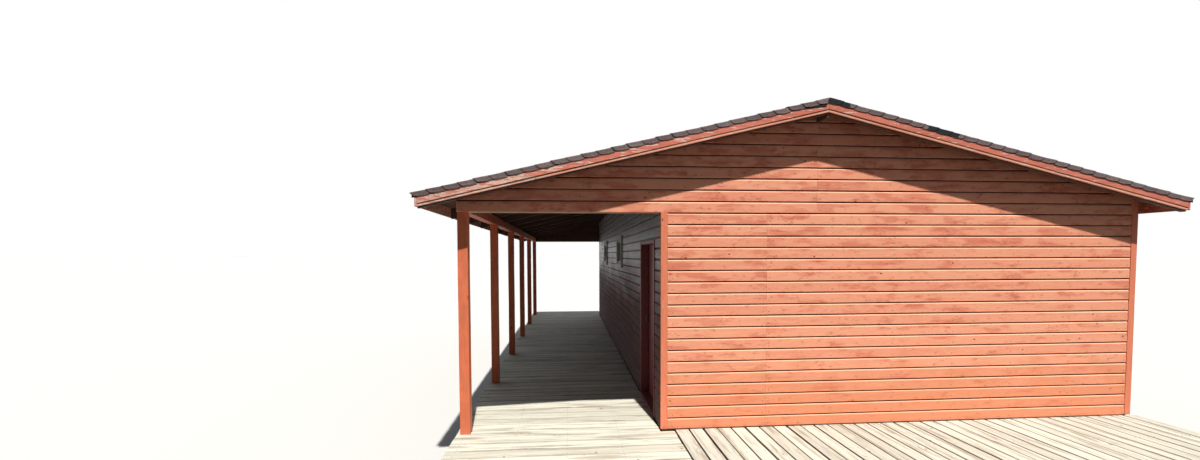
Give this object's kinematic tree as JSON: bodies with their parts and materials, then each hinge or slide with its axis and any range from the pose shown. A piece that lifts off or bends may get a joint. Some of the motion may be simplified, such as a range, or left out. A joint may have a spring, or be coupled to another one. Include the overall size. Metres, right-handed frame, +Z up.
{
  "type": "boathouse",
  "caption": "Timber boathouse: a boarded cabin with a hinged side door and a roofed porch walkway on posts, on a board deck over piles.",
  "frame": {"origin": "the middle of the deck's length, under the ridge, at the foot of the piles", "axes": "+Z up; +Y along the ridge from the street gable to the lake gable; +X across, from the porch side to the far wall"},
  "size_m": [8.01, 10.71, 3.8601],
  "materials": {
    "frame_timber": "sawn softwood, darkened by age",
    "pile_timber": "round timber, weathered, darker towards the water",
    "deck_boards": "bare planed boards bleached by sun, grey streaks, nail heads",
    "floor_boards": "bare planed boards",
    "red_cladding": "horizontal boards in thin red paint, faded, knots and streaks showing",
    "red_trim": "red paint, peeling on the verge boards",
    "red_posts": "square timber in red paint",
    "door_red": "deep red paint",
    "iron": "black painted iron, worn",
    "window_paint": "pale paint, weathered",
    "window_glass": "clear pane",
    "shingle": "mineral-faced bitumen shingles, sun-faded purple grey and brown"
  },
  "bodies": {
    "building": {"piles": "pile_timber", "bearers": "frame_timber", "joists": "frame_timber", "noggings": "frame_timber", "porch_deck": "deck_boards", "front_landing": "deck_boards", "rear_landing": "deck_boards", "cabin_floor": "floor_boards", "front_wall": "red_cladding", "front_gable": "red_cladding", "rear_wall": "red_cladding", "rear_gable": "red_cladding", "far_side_wall": "red_cladding", "porch_wall_front": "red_cladding", "porch_wall_over_door": "red_cladding", "porch_wall_rear": "red_cladding", "corner_boards_front": "red_trim", "corner_boards_rear": "red_trim", "door_frame": "door_red", "hinge_pins": "iron", "window_frame_1": "window_paint", "window_frame_2": "window_paint", "window_glass": "window_glass", "post_1": "red_posts", "post_2": "red_posts", "post_3": "red_posts", "post_4": "red_posts", "post_5": "red_posts", "post_6": "red_posts", "porch_beam": "red_posts", "rafters_porch_side": "frame_timber", "rafters_far_side": "frame_timber", "ridge_board": "frame_timber", "roof_boarding_porch_side": "frame_timber", "roof_boarding_far_side": "frame_timber", "shingles_porch_side": "shingle", "shingles_far_side": "shingle", "ridge_cap": "shingle", "verge_boards_front": "red_trim", "verge_boards_rear": "red_trim", "verge_strips": "red_trim", "fascia_porch_side": "red_trim", "fascia_far_side": "red_trim"},
    "door": {"door_leaf": "door_red", "door_handle": "iron", "hinge_straps": "iron"}
  },
  "joints": [
    {"name": "door_hinge", "type": "hinge", "parent": "building", "child": "door", "pos_m": [-1.472, -3.917, 1.521], "axis": [0, 0, -1], "range_deg": [0, 95]}
  ]
}
